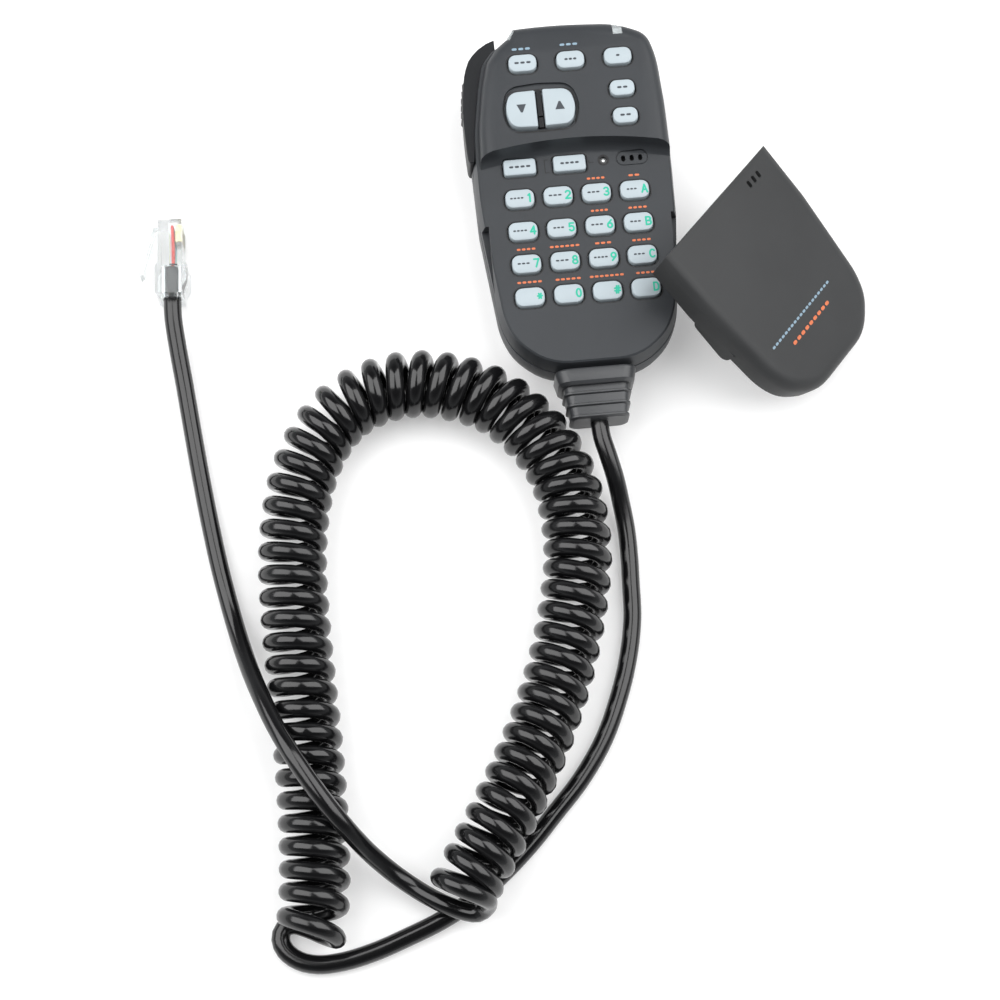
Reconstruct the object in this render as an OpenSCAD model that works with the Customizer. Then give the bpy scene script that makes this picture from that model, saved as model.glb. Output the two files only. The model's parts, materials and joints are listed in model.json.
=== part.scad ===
// Hand microphone with keypad, coiled cord and loose keypad cover
// Millimetres. +X right, +Y towards the top of the microphone, +Z out of the keys.
// The origin is the centre of the hanger stud's face, on the surface the microphone lies on.

/* [Case] */
// Height of the keypad face above the surface
face_z = 21.5; // [21.3:0.1:21.8]
// Height of the upper block above the surface
block_z = 27.0; // [26.8:0.1:27.3]
// Height of the seam between the front and rear shells
seam_z = 15.0; // [14.9:0.05:15.1]
// Height of the rear shell's back above the surface
back_z = 3.0; // [2.9:0.05:3.2]
// Thickness of the shell walls
wall = 2.0; // [1.8:0.1:2.1]

/* [Keys] */
// Distance between keypad columns
key_pitch_x = 10.5; // [10.3:0.1:10.7]
// Distance between keypad rows
key_pitch_y = 9.5; // [9.3:0.1:9.6]
// Width and height of a keypad key
key_size = [7.9, 5.3]; // [5:0.1:8]
// Gap round every key
key_gap = 0.4; // [0.25:0.05:0.45]
// How far the keys stand above their face
key_proud = 1.1; // [0.9:0.1:1.3]

/* [Cord] */
// Diameter of the cord
cord_d = 4.9; // [4.7:0.1:4.9]
// Outside diameter of the coiled stretch
coil_d = 18.6; // [18.2:0.1:18.7]

/* [Cover] */
// Place of the loose cover
cover_pos = [41.0, -19.1, 24.3]; // [-100:0.1:100]
// Tilts and turn of the loose cover, in degrees
cover_turn = [24.9, 18.3, 47.9]; // [-180:0.1:180]

/* [Plug] */
// Length of the plug's body
plug_length = 21.5; // [21.3:0.1:22]
// Width of the plug's body across its contacts
plug_width = 11.7; // [11.6:0.1:11.8]

/* [Hidden] */
$fn = 48;
eps = 0.01;
arc_steps = 5;
key_top = face_z + key_proud;
block_key_top = block_z + key_proud;
plate_z = face_z - 1.8;
block_plate_z = block_z - 2.1;
key_base_z = 17.2;
pcb_z = 12.6;
pcb_top = 14.2;
membrane_z = 14.6;
recess_depth = 0.8;
shelf_z = 20.0;
pin_at = [-24.6, 14.6];
pin_r = 0.95;
lens_gap = 0.06;
capsule_at = [16.1, 9.6];
lamp_at = [8.2, 9.6];
stud_r = 7.4;
port_slots = [13.7, 16.05, 18.4];

// corners of the front shell's face: x, y, corner radius, counterclockwise
low_right = [[12.6, -47.8, 16], [20.6, -40.6, 15], [23.4, -34.0, 22], [26.3, -5.5, 40], [26.7, 8, 60]];
low_left = [[-26.7, 2, 60], [-26.3, -5.5, 40], [-23.4, -34.0, 22], [-20.6, -40.6, 15], [-12.6, -47.8, 16]];
top_right = [[26.6, 24, 80], [25.9, 38.5, 30], [23.9, 45.2, 6.5], [15.5, 48.9, 25], [-2.0, 50.0, 150],
             [-13.3, 49.4, 1.2], [-15.2, 46.5, 1.0]];
face_left = [[-19.0, 45.3, 6], [-22.4, 41.0, 8], [-24.1, 33.6, 30], [-26.2, 20.8, 60], [-26.6, 12.2, 4]];
block_left = [[-18.4, 43.9, 5], [-21.3, 40.0, 8], [-23.0, 33.4, 30], [-25.1, 20.8, 60], [-25.4, 12.2, 4]];
face_corners = concat(low_right, top_right, face_left, low_left);
block_corners = concat(low_right, top_right, block_left, [for (c = low_left) [c.x + 1.2, c.y, c.z]]);
rear_corners = [[13.2, -48.6, 16], [21.4, -41.2, 15.5], [24.2, -34.2, 22], [27.2, -5.5, 40], [27.5, 8, 60],
    [27.4, 24, 80], [26.7, 38.7, 30], [24.6, 45.8, 7], [15.8, 49.7, 25], [-2.0, 50.8, 150],
    [-13.3, 50.2, 6], [-20.5, 47.8, 8], [-25.2, 42.0, 10], [-27.2, 33.0, 30], [-27.9, 22.0, 60],
    [-27.5, 11.0, 40], [-27.2, -5.5, 40], [-24.2, -34.2, 22], [-21.4, -41.2, 15.5], [-13.2, -48.6, 16]];
// shelf wall behind the lever, from its root to its tip
ptt_wall = [[-25.9, 12.3], [-25.2, 21.0], [-23.9, 27.3], [-22.6, 33.4], [-21.1, 38.4], [-19.6, 41.6],
    [-17.8, 43.4], [-15.9, 44.2]];
// lever contour, outer side then inner side
lever_outer = [[-18.2, 45.9], [-18.2, 49.0], [-20.6, 48.1], [-23.0, 46.5], [-24.7, 44.8], [-25.9, 43.2],
    [-26.8, 41.0], [-27.5, 38.6], [-28.4, 32.9], [-28.8, 28.0], [-28.9, 23.0], [-28.8, 17.0], [-28.6, 13.6],
    [-28.2, 12.7]];
lever_inner = [[-26.9, 12.7], [-26.2, 17.0], [-26.0, 21.0], [-25.0, 27.3], [-24.0, 33.4], [-22.8, 38.4],
    [-21.7, 41.4], [-20.3, 43.8]];
// cover outline as it sits on the face
cover_end = 13.6;
cover_corners = [for (c = [[12.8, -48.7, 15], [21.3, -41.4, 14], [24.1, -34.2, 22], [26.7, -5.5, 40],
    [26.9, 24, 2], [-26.9, 24, 2], [-26.7, -5.5, 40], [-24.1, -34.2, 22], [-21.3, -41.4, 14],
    [-12.8, -48.7, 15]]) [c.x, cover_end - (cover_end - c.y) * 0.924, c.z]];
case_screws = [[-18.6, 33.0], [21.2, 33.0], [-16.5, -38.0], [16.5, -38.0]];

// upper keys: centre x, centre y, width, height, corner radius
mode_key = [-11.5, 37.4, 7.7, 5.1, 2.0];
memory_key = [1.7, 37.4, 7.7, 5.1, 2.0];
backlight_key = [14.8, 37.4, 7.6, 5.0, 2.0];
f1_key = [15.0, 27.8, 6.8, 4.7, 1.9];
f2_key = [15.0, 19.6, 6.8, 4.7, 1.9];
tone_key = [-14.9, 9.2, 8.9, 4.7, 0.9];
function_key = [-1.2, 9.2, 8.9, 4.7, 0.9];
down_corners = [[-9.0, 18.2, 0.5], [-9.0, 29.1, 0.5], [-16.2, 28.9, 3.2], [-17.6, 23.6, 8], [-16.2, 18.5, 3.2]];
up_corners = [[0.5, 18.5, 3.2], [1.9, 23.8, 8], [0.5, 29.0, 3.2], [-7.0, 29.3, 0.5], [-7.0, 18.3, 0.5]];
rocker_recess = [[1.2, 17.2, 4.5], [3.2, 24.2, 10], [1.2, 31.0, 4.5], [-8.0, 31.6, 30], [-16.8, 30.8, 4.5],
    [-18.6, 23.8, 10], [-16.8, 17.0, 4.5], [-8.0, 16.6, 30]];

// points the cord passes through
handset_route = [[0, -62.2, 12.0], [0.3, -66.5, 11.9], [1.4, -71.0, 11.0], [2.9, -77.0, 8.6], [4.0, -83.5, 5.6],
    [4.8, -90.0, 3.4], [4.9, -97.0, 2.5], [4.5, -105.0, 2.5], [3.8, -115.0, 2.5], [1.5, -125.5, 2.5],
    [-2.0, -135.5, 2.5], [-7.2, -146.5, 2.5], [-14.3, -156.5, 2.5], [-22.3, -165.0, 2.5], [-29.6, -172.5, 2.5],
    [-37.8, -179.6, 2.5], [-46.0, -185.4, 2.5], [-54.5, -189.8, 2.5], [-63.5, -193.2, 2.5], [-72.0, -196.0, 2.5],
    [-80.0, -197.7, 2.5], [-87.0, -197.9, 2.5], [-91.8, -196.4, 2.8], [-94.0, -193.8, 3.6], [-93.4, -190.4, 4.8]];
coil_route = [[-87.8, -190.4, 9.5], [-86.3, -182.0, 9.4], [-85.3, -170.0, 9.4], [-84.9, -157.0, 9.4],
    [-84.9, -142.0, 9.4], [-85.4, -125.0, 9.4], [-85.7, -108.0, 9.4], [-85.3, -92.0, 9.4], [-83.4, -78.8, 9.4],
    [-80.2, -68.0, 9.4], [-75.1, -58.7, 9.4], [-68.4, -51.7, 9.4], [-59.8, -47.5, 9.4], [-50.0, -46.0, 9.4],
    [-39.7, -47.6, 9.4], [-28.6, -52.3, 9.4], [-20.6, -59.4, 9.4], [-15.1, -66.9, 9.4], [-11.2, -75.7, 9.4],
    [-9.4, -86.5, 9.4], [-9.5, -98.0, 9.4], [-12.1, -111.2, 9.4], [-16.3, -125.3, 9.6], [-21.9, -139.3, 10.6],
    [-28.4, -152.2, 12.4], [-35.2, -163.9, 14.4], [-42.6, -175.4, 14.8], [-50.0, -186.4, 14.6]];
plug_route = [[-50.0, -186.4, 7.75], [-52.2, -189.4, 7.7], [-56.2, -190.2, 7.6], [-60.2, -187.2, 6.6],
    [-65.6, -178.4, 6.6], [-70.8, -172.0, 11.6], [-74.6, -167.8, 16.4], [-77.4, -164.2, 19.6], [-81.4, -158.4, 21.9],
    [-85.4, -151.8, 22.4], [-89.4, -144.4, 21.8], [-92.8, -137.0, 19.0], [-95.4, -130.2, 15.8],
    [-97.9, -123.0, 11.4], [-100.1, -115.4, 7.2], [-102.0, -107.6, 4.1], [-103.7, -99.4, 2.7], [-105.4, -90.0, 2.5],
    [-107.2, -77.5, 2.5], [-108.8, -64.5, 2.5], [-110.2, -51.5, 2.6], [-111.5, -38.5, 3.2], [-112.6, -28.0, 4.6],
    [-113.2, -20.0, 5.7], [-113.1, -14.6, 5.85]];
plug_at = [-113.1, -14.6, 5.85];
plug_turn = -3;

// ---- outline helpers ----
function unit(v) = v / norm(v);
function left_of(u) = [-u.y, u.x];
function at(list, i) = list[(i + len(list)) % len(list)];
function xy(c) = [c.x, c.y];
// corner i of a closed outline, moved inwards by d
function moved(list, i, d) =
    let (b = xy(at(list, i)), u = unit(b - xy(at(list, i - 1))), v = unit(xy(at(list, i + 1)) - b))
    let (n = left_of(u), m = left_of(v), side = u.x * v.y - u.y * v.x)
    concat(b + (n + m) * d / (1 + n * m), [max(at(list, i).z - (side > 0 ? d : -d), 0.3)]);
function inset(list, d) = [for (i = [0 : len(list) - 1]) moved(list, i, d)];
// rounded corner i as arc_steps + 1 points
function arc(list, i) =
    let (b = xy(at(list, i)), u = unit(b - xy(at(list, i - 1))), v = unit(xy(at(list, i + 1)) - b))
    let (side = u.x * v.y - u.y * v.x, s = side > 0 ? 1 : -1, turn = acos(min(1, u * v)))
    let (r = at(list, i).z, p = b - u * r * tan(turn / 2), centre = p + left_of(u) * r * s, w = p - centre)
    [for (k = [0 : arc_steps]) let (a = s * turn * k / arc_steps)
        centre + [w.x * cos(a) - w.y * sin(a), w.x * sin(a) + w.y * cos(a)]];
function outline(list) = [for (i = [0 : len(list) - 1]) for (p = arc(list, i)) p];
function ring(list, d, z) = [for (p = outline(inset(list, d))) [p.x, p.y, z]];
function box_corners(w, h, r) = [[-w / 2, -h / 2, r], [w / 2, -h / 2, r], [w / 2, h / 2, r], [-w / 2, h / 2, r]];

// closed solid through rings of equal length, lowest first
module skin(rings) {
    n = len(rings[0]);
    m = len(rings);
    polyhedron(
        points = [for (r = rings) for (p = r) p],
        faces = concat(
            [[for (i = [0 : n - 1]) i]],
            [[for (i = [n - 1 : -1 : 0]) (m - 1) * n + i]],
            [for (j = [0 : m - 2]) for (i = [0 : n - 1]) let (k = (i + 1) % n)
                each [[j * n + i, (j + 1) * n + i, (j + 1) * n + k], [j * n + i, (j + 1) * n + k, j * n + k]]]
        )
    );
}

module slab(list, z0, z1, d = 0) {
    translate([0, 0, z0]) linear_extrude(z1 - z0) polygon(outline(inset(list, d)));
}

module block_at(x0, x1, y0, y1, z0, z1) {
    translate([x0, y0, z0]) cube([x1 - x0, y1 - y0, z1 - z0]);
}

module rod(x, y, r, z0, z1) {
    translate([x, y, z0]) cylinder(r = r, h = z1 - z0);
}

// ---- case ----
module ptt_zone(z0, z1, shift = [0, 0]) {
    translate([shift.x, shift.y, z0]) linear_extrude(z1 - z0)
        polygon(concat(ptt_wall, [[-15.9, 60], [-40, 60], [-40, 12.3]]));
}

module block_skin() {
    skin([ring(block_corners, -0.8, seam_z), ring(block_corners, -0.5, 18), ring(block_corners, 0, 20.4),
        ring(block_corners, 0.05, block_z - 3.5), ring(block_corners, 0.35, block_z - 2.3),
        ring(block_corners, 0.95, block_z - 1.3), ring(block_corners, 1.9, block_z - 0.5),
        ring(block_corners, 3.4, block_z)]);
}

module face_skin() {
    skin([ring(face_corners, -0.8, seam_z), ring(face_corners, -0.5, 18), ring(face_corners, 0, 20.4),
        ring(face_corners, 0.15, face_z - 0.4), ring(face_corners, 0.6, face_z)]);
}

// space over the keypad face: a steep arched wall with a cove at its foot
function step_ring(z, back) = concat(
    [for (k = [-8 : 8]) [-k * 4, 14.8 - back - 0.0042 * pow(k * 4, 2), z]],
    [[-40, -70, z], [40, -70, z]]);
module step_cut() {
    skin([step_ring(face_z, 2.6), step_ring(face_z + 0.5, 1.8), step_ring(face_z + 1.4, 1.1),
        step_ring(face_z + 3, 0.6), step_ring(block_z + 1, 0)]);
    block_at(-40, 40, -70, 11.4, seam_z - 1, face_z + eps);
}

module key_hole(k, z0, z1) {
    translate([k.x, k.y, z0]) linear_extrude(z1 - z0)
        polygon(outline(box_corners(k[2] + 2 * key_gap, k[3] + 2 * key_gap, k[4] + key_gap)));
}

function pad_at(i, j) = [(i - 1.5) * key_pitch_x, -j * key_pitch_y];
function pad_key(i, j) = concat(pad_at(i, j), key_size, [2.0]);

module front_cavity() {
    difference() {
        union() {
            slab(face_corners, seam_z - 1, plate_z, wall - 0.2);
            intersection() {
                slab(block_corners, plate_z - 1, block_plate_z, wall);
                block_at(-30, 30, 14.9, 60, plate_z - 1, block_plate_z);
            }
        }
        ptt_zone(seam_z - 2, shelf_z + 1.4, [1.3, -0.9]);
        block_at(22.2, 30, -26.4, -5.5, 0, 40);
        block_at(-30, -22.2, -26.4, -5.5, 0, 40);
        rod(pin_at.x, pin_at.y, 3.5, seam_z - 1, plate_z);
        for (s = case_screws) rod(s.x, s.y, 2.3, pcb_top, 40);
    }
}

module lens_space(g) {
    block_at(14.3 - g, 16.9 + g, 44.4 - g, 52, 21.0 - g, 30);
}

module left_lens_space(g) {
    translate([-14.3, 47.6, 20.5 - g]) rotate([0, 0, -30]) translate([-1.6, -1.9 - g, 0])
        cube([2.7 + g, 3.2 + 2 * g, 5.6 + 2 * g]);
}

module front_case() {
    color("#4a4c50") difference() {
        union() {
            face_skin();
            difference() {
                block_skin();
                step_cut();
            }
        }
        front_cavity();
        ptt_zone(0, shelf_z);
        rod(pin_at.x, pin_at.y, 2.3, 0, 18.8);
        rod(pin_at.x, pin_at.y, pin_r + 0.05, 0, 19.6);
        block_at(-27, -21.5, 23.2, 26.4, 0, 17.2);
        for (i = [0 : 3]) for (j = [0 : 3]) key_hole(pad_key(i, j), 10, 30);
        for (k = [mode_key, memory_key, backlight_key, f1_key, f2_key, tone_key, function_key]) key_hole(k, 10, 40);
        slab(rocker_recess, block_z - recess_depth, 40);
        slab(down_corners, 10, 40, -key_gap);
        slab(up_corners, 10, 40, -key_gap);
        block_at(-9.2, -6.8, 18.2, 29.2, 10, 40);
        for (x = port_slots) translate([x, capsule_at.y, 15]) linear_extrude(10)
            polygon(outline(box_corners(1.15, 1.8, 0.55)));
        translate([capsule_at.x, capsule_at.y, face_z - 0.3]) linear_extrude(1) difference() {
            polygon(outline(box_corners(8.9, 4.3, 2.1)));
            polygon(outline(box_corners(8.3, 3.7, 1.8)));
        }
        rod(lamp_at.x, lamp_at.y, 1.0, 15, 30);
        translate([lamp_at.x, lamp_at.y, face_z - 0.4]) cylinder(r1 = 1.0, r2 = 1.55, h = 0.42);
        for (s = [-1, 1]) translate([s * 26.6, -16, 23]) cube([3.4, 17.9, 12], center = true);
        lens_space(lens_gap);
        left_lens_space(lens_gap);
        block_at(-7.1, 7.1, -60, -44, 0, 16.5);
        for (s = case_screws) rod(s.x, s.y, 1.25, 0, 19.2);
    }
}

module rear_case() {
    color("#55575b") difference() {
        union() {
            difference() {
                skin([ring(rear_corners, 5.5, back_z), ring(rear_corners, 3.3, 3.6), ring(rear_corners, 1.7, 4.6),
                    ring(rear_corners, 0.6, 6.2), ring(rear_corners, -0.1, 8.6), ring(rear_corners, -0.25, 11.4),
                    ring(rear_corners, 0, seam_z - 0.25)]);
                difference() {
                    union() {
                        slab(rear_corners, 5.2, 8, 4.6);
                        slab(rear_corners, 7.2, 20, 2.4);
                    }
                    ptt_zone(0, 30, [1.3, -0.9]);
                    rod(pin_at.x, pin_at.y, 3.5, 0, 30);
                    for (s = case_screws) rod(s.x, s.y, 3.4, 0, pcb_z);
                    rod(0, 0, 6.2, 0, 7.4);
                }
            }
            difference() {
                union() {
                    slab(face_corners, 11.5, 16.4, 1.9);
                    slab(face_corners, 11.5, 14.6, 0.8);
                }
                slab(face_corners, 10, 20, 3.0);
                ptt_zone(0, 30, [4.2, -3.2]);
                rod(pin_at.x, pin_at.y, 3.6, 0, 30);
                for (s = case_screws) rod(s.x, s.y, 2.6, 13.5, 30);
                for (s = [-1, 1]) translate([s * 26, -16, 20.7]) cube([7.9, 21.2, 12], center = true);
            }
        }
        ptt_zone(8.3, 30);
        rod(pin_at.x, pin_at.y, 2.3, 8.8, 30);
        rod(pin_at.x, pin_at.y, pin_r + 0.05, 6.4, 30);
        block_at(-27, -21.5, 23.2, 26.4, 14.2, 30);
        block_at(-7.1, 7.1, -60, -42, 7.5, 30);
        block_at(-9.3, 9.3, -46, -42, 6.3, 30);
        rod(0, 0, 4.7, -1, 4.6);
        rod(0, 0, 1.5, -1, 20);
        for (s = case_screws) {
            rod(s.x, s.y, 2.7, -1, 7.2);
            rod(s.x, s.y, 1.35, -1, 20);
        }
    }
}

module hanger_stud() {
    color("#b9bcc0") difference() {
        rotate_extrude() polygon([[0, 0], [6.8, 0], [stud_r, 0.5], [stud_r, 2.0], [4.6, 2.0], [4.6, 4.6], [0, 4.6]]);
        rod(0, 0, 1.35, 1.2, 6);
    }
}

module hanger_screw() {
    color("#8d9096") difference() {
        union() {
            rod(0, 0, 1.3, 1.4, 7.4);
            rod(0, 0, 2.8, 7.4, 9.0);
        }
        block_at(-0.35, 0.35, -1.6, 1.6, 8.2, 10);
        block_at(-1.6, 1.6, -0.35, 0.35, 8.2, 10);
    }
}

module case_screws() {
    color("#8d9096") for (s = case_screws) translate([s.x, s.y, 0]) difference() {
        union() {
            rod(0, 0, 1.2, 7.2, 18.6);
            rod(0, 0, 2.4, 5.7, 7.2);
        }
        block_at(-0.35, 0.35, -1.5, 1.5, 5, 6.5);
        block_at(-1.5, 1.5, -0.35, 0.35, 5, 6.5);
    }
}

// ---- inside ----
board_corners = [[11.6, -42.6, 1], [18.0, -37, 1], [20.4, -28, 1], [21.4, -4, 1], [22.6, 0, 1], [22.0, 38, 2],
    [17, 44, 2], [-12.3, 44.4, 1], [-14.5, 41.5, 1], [-17.8, 38, 1], [-20, 30, 1], [-22, 21, 1], [-22.6, 8, 1],
    [-22.6, 0, 1], [-21.4, -4, 1], [-20.4, -28, 1], [-18.0, -37, 1], [-11.6, -42.6, 1]];
membrane_corners = [[12, -33.6, 1], [20.3, -33.6, 1], [20.3, 4.0, 1], [10.4, 4.6, 1], [10.4, 15.2, 1],
    [19.4, 15.8, 1], [19.4, 29.6, 1], [18.4, 31, 1], [18.4, 41.2, 1], [-16.0, 41.2, 1], [-16.0, 31, 1],
    [-18.0, 29.6, 1], [-18.0, 18.4, 1], [-20.3, 12.2, 1], [-20.3, -33.6, 1], [-12, -33.6, 1]];
key_centres = concat([for (j = [0 : 3]) for (i = [0 : 3]) pad_at(i, j)],
    [for (k = [mode_key, memory_key, backlight_key, f1_key, f2_key, tone_key, function_key]) [k.x, k.y]],
    [[-13.0, 23.7], [-3.0, 23.8]]);

module circuit_board() {
    color("#1f5f3a") difference() {
        slab(board_corners, pcb_z, pcb_top);
        rod(pin_at.x, pin_at.y, 3.9, 0, 30);
        rod(capsule_at.x, capsule_at.y, 5.5, 0, 30);
        for (s = case_screws) rod(s.x, s.y, 1.6, 0, 30);
    }
}

module board_chips() {
    color("#222222") {
        block_at(-5, 5, -17, -7, 11.1, pcb_z);
        block_at(-11, -5, 10, 14, 11.2, pcb_z);
        block_at(4, 9, 24, 28, 11.2, pcb_z);
        block_at(6, 10.9, 0, 3.2, 9.2, pcb_z);
    }
}

module dome_contacts() {
    color("#c9c9c2") for (c = key_centres) translate([c.x, c.y, pcb_top]) cylinder(r1 = 2.4, r2 = 1.6, h = 0.35);
}

module backlight_leds() {
    color("#f2f0d8") for (x = [-key_pitch_x, 0, key_pitch_x]) for (y = [-4.75, -23.75])
        block_at(x - 0.8, x + 0.8, y - 0.4, y + 0.4, pcb_top, pcb_top + 0.35);
}

module indicator_leds() {
    color("#f2f0d8") for (c = [[8.2, 9.6], [15.6, 43.2], [-11.9, 43.0]])
        block_at(c.x - 0.8, c.x + 0.8, c.y - 0.5, c.y + 0.5, pcb_top, pcb_top + 0.9);
}

module keypad_membrane() {
    color("#dfe3e4") difference() {
        union() {
            slab(membrane_corners, membrane_z, membrane_z + 0.8);
            for (c = key_centres) rod(c.x, c.y, 1.9, membrane_z, 16.2);
            for (x = [-19.2, 19.2]) for (y = [-32, -14, 2]) rod(x, y, 0.7, pcb_top, membrane_z + 0.1);
            for (c = [[-14.8, 40.2], [8.3, 40.2], [18.2, 23.6]]) rod(c.x, c.y, 0.7, pcb_top, membrane_z + 0.1);
        }
        rod(lamp_at.x, lamp_at.y, 1.9, 0, 30);
        for (s = case_screws) rod(s.x, s.y, 2.6, 0, 40);
    }
}

module microphone_capsule() {
    color("#a9abb0") translate([capsule_at.x, capsule_at.y, 0]) difference() {
        rod(0, 0, 4.7, 12.3, 18.4);
        rod(0, 0, 1.0, 17.9, 20);
        for (a = [0 : 60 : 300]) rod(2.4 * cos(a), 2.4 * sin(a), 0.5, 17.9, 20);
    }
}

module capsule_boot() {
    color("#2b2b2d") translate([capsule_at.x, capsule_at.y, 0]) difference() {
        rod(0, 0, 5.3, 11.5, 19.0);
        rod(0, 0, 4.75, 12.3, 30);
        rod(0, 0, 1.6, 0, 13);
    }
}

module port_felt() {
    color("#17181a") rod(capsule_at.x, capsule_at.y, 4.9, 19.0, plate_z);
}

module status_lamp() {
    color("#e8ecec") rod(lamp_at.x, lamp_at.y, 0.95, 16.0, face_z - 0.5);
}

module lens_right() {
    color("#e6eef0") difference() {
        intersection() {
            block_skin();
            lens_space(0);
        }
        block_at(0, 30, 0, 46.6, 10, 24.8);
    }
}

module lens_left() {
    color("#e6eef0") intersection() {
        block_skin();
        left_lens_space(0);
    }
}

module cord_connector() {
    color("#e9e6da") {
        block_at(-7, 7, -38.6, -34, 8.6, pcb_z);
        for (i = [0 : 7]) block_at(-5.45 + i * 1.4, -4.75 + i * 1.4, -39.6, -38.6, 10, 10.7);
    }
}

module cord_clamp() {
    color("#b9bcc0") difference() {
        block_at(-6, 6, -43.4, -41.4, 8.6, pcb_z);
        translate([0, -42.4, 10]) rotate([90, 0, 0]) cylinder(r = 1.0, h = 4, center = true);
    }
}

function boot_ring(w, h, y) = [for (p = outline(box_corners(w, h, min(w, h) * 0.22))) [p.x, y, 12 + p.y]];
module boot_skin(list) {
    skin([for (s = list) boot_ring(s[0], s[1], s[2])]);
}

module cord_boot() {
    color("#3a3b3e") {
        boot_skin([[21.6, 16.0, -48.95], [22.0, 16.4, -49.4], [20.6, 15.6, -52.4], [18.8, 13.8, -53.2]]);
        boot_skin([[17.9, 11.0, -53.0], [17.2, 10.6, -56], [15.1, 9.7, -61.6], [14.3, 9.0, -62.2]]);
        for (k = [0 : 2]) boot_skin([[17.5 - k * 1.2, 10.8 - k * 0.4, -54.7 - k * 3.2],
            [18.5 - k * 1.2, 11.8 - k * 0.4, -55.0 - k * 3.2], [18.5 - k * 1.2, 11.8 - k * 0.4, -55.4 - k * 3.2],
            [17.5 - k * 1.2, 10.8 - k * 0.4, -55.7 - k * 3.2]]);
        block_at(-7, 7, -49.2, -45.6, 7.6, 16.4);
        block_at(-9, 9, -45.7, -44.0, 6.6, 17.4);
    }
}

module ptt_switch() {
    color("#202124") {
        block_at(-21.0, -18.4, 22.0, 27.6, pcb_top, 16.6);
        block_at(-21.8, -21.0, 24.0, 25.6, 15.0, 16.2);
    }
}

module ptt_pivot_pin() {
    color("#c4c7cb") rod(pin_at.x, pin_at.y, pin_r, 6.6, 19.4);
}

module ptt_spring() {
    color("#9ea2a8") translate([pin_at.x, pin_at.y, 9.2]) rotate_extrude() for (k = [0 : 4])
        translate([1.45, 0.2 + k * 0.36]) circle(r = 0.21, $fn = 12);
}

module ptt_lever() {
    color("#3c3e42") difference() {
        union() {
            translate([0, 0, 8.7]) linear_extrude(shelf_z - 0.35 - 8.7) polygon(concat(lever_outer, lever_inner));
            rod(pin_at.x, pin_at.y, 1.95, 11.5, 18.4);
            translate([0, 0, 11.5]) linear_extrude(6.9)
                polygon([[-27.4, 13.2], [-24.6, 12.8], [-24.6, 16.4], [-27.2, 16.6]]);
            block_at(-26.5, -22.85, 24.0, 25.6, 15.0, 16.4);
        }
        rod(pin_at.x, pin_at.y, pin_r + 0.05, 0, 30);
    }
}

// ---- keys ----
module key_cap(list, top, round = 0.5) {
    skin([ring(list, 0, key_base_z + 3), ring(list, 0, top - round), ring(list, round * 0.3, top - round * 0.3),
        ring(list, round, top)]);
}

module face_key(k) {
    corners = box_corners(k[2], k[3], k[4]);
    color("#dfe6ea") translate([k.x, k.y, 0]) {
        slab(corners, key_base_z, key_base_z + 3);
        slab(corners, key_base_z, key_base_z + 1.8, -0.55);
        key_cap(corners, key_top);
    }
}

module block_key(corners) {
    color("#dfe6ea") {
        slab(corners, key_base_z, block_plate_z, 0.8);
        slab(corners, block_plate_z - 1.6, block_plate_z - 0.5, -0.5);
        skin([ring(corners, 0, block_plate_z - 0.6), ring(corners, 0, block_key_top - 0.5),
            ring(corners, 0.15, block_key_top - 0.15), ring(corners, 0.5, block_key_top)]);
    }
}

module upper_key(k) {
    translate([k.x, k.y, 0]) block_key(box_corners(k[2], k[3], k[4]));
}

module pad(i, j) {
    face_key(pad_key(i, j));
}

module key_down() {
    block_key(down_corners);
}

module key_up() {
    block_key(up_corners);
}

module rocker_bar() {
    color("#46484c") difference() {
        block_at(-8.7, -7.3, 18.2, 29.2, block_plate_z - 0.2, block_z + 0.2);
        block_at(-9, -7, 21.2, 21.6, block_z - 0.6, block_z + 1);
    }
}

// ---- cover ----
// everything past the straight end, which leans inwards towards the rim
module cover_end_cut(d) {
    rotate([90, 0, 90]) linear_extrude(80, center = true)
        polygon([[cover_end - d, 8], [cover_end - d, 5.0 - d], [cover_end - d - 2.4, -3.2], [40, -3.2], [40, 8]]);
}

module cover() {
    color("#4a4c50") translate(cover_pos) rotate(cover_turn) {
        difference() {
            skin([ring(cover_corners, 0, -2), ring(cover_corners, 0.1, 2.6), ring(cover_corners, 0.5, 3.9),
                ring(cover_corners, 1.3, 4.9), ring(cover_corners, 2.4, 5.5), ring(cover_corners, 3.8, 5.7)]);
            difference() {
                skin([ring(cover_corners, 1.5, -3), ring(cover_corners, 1.5, 2.2), ring(cover_corners, 2.0, 3.2),
                    ring(cover_corners, 3.2, 4.2)]);
                cover_end_cut(1.3);
            }
            cover_end_cut(0);
            for (x = port_slots) translate([x - 1.5, capsule_at.y, 0]) linear_extrude(10)
                polygon(outline(box_corners(1.15, 2.2, 0.55)));
        }
        for (s = [-1, 1]) scale([s, 1, 1]) translate([0, -13.2, 0]) {
            translate([23.9, 0, 0]) rotate([90, 0, 90]) linear_extrude(1.4)
                polygon(outline([[-7, 0.2, 0.4], [-7, -4.6, 2.2], [7, -4.6, 2.2], [7, 0.2, 0.4]]));
            translate([23.3, 0, -4.15]) cube([1.6, 9.6, 0.9], center = true);
        }
    }
}

// ---- cord ----
function tangent(route, i, first, last) =
    i == 0 ? first : i == len(route) - 1 ? last : unit(route[i + 1] - route[i - 1]);
module tube(route, d, sides, first, last) {
    skin([for (i = [0 : len(route) - 1])
        let (t = tangent(route, i, first, last), s = unit(cross(t, [0, 0, 1])), u = cross(s, t))
        [for (k = [0 : sides - 1]) let (a = 360 * k / sides) route[i] + d / 2 * (cos(a) * u + sin(a) * s)]]);
}

function heading(a) = [-sin(a), cos(a), 0];

module cord_lead_handset() {
    color("#141415") tube(handset_route, cord_d, 10, [0, -1, 0], [0, 1, 0]);
}

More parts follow.
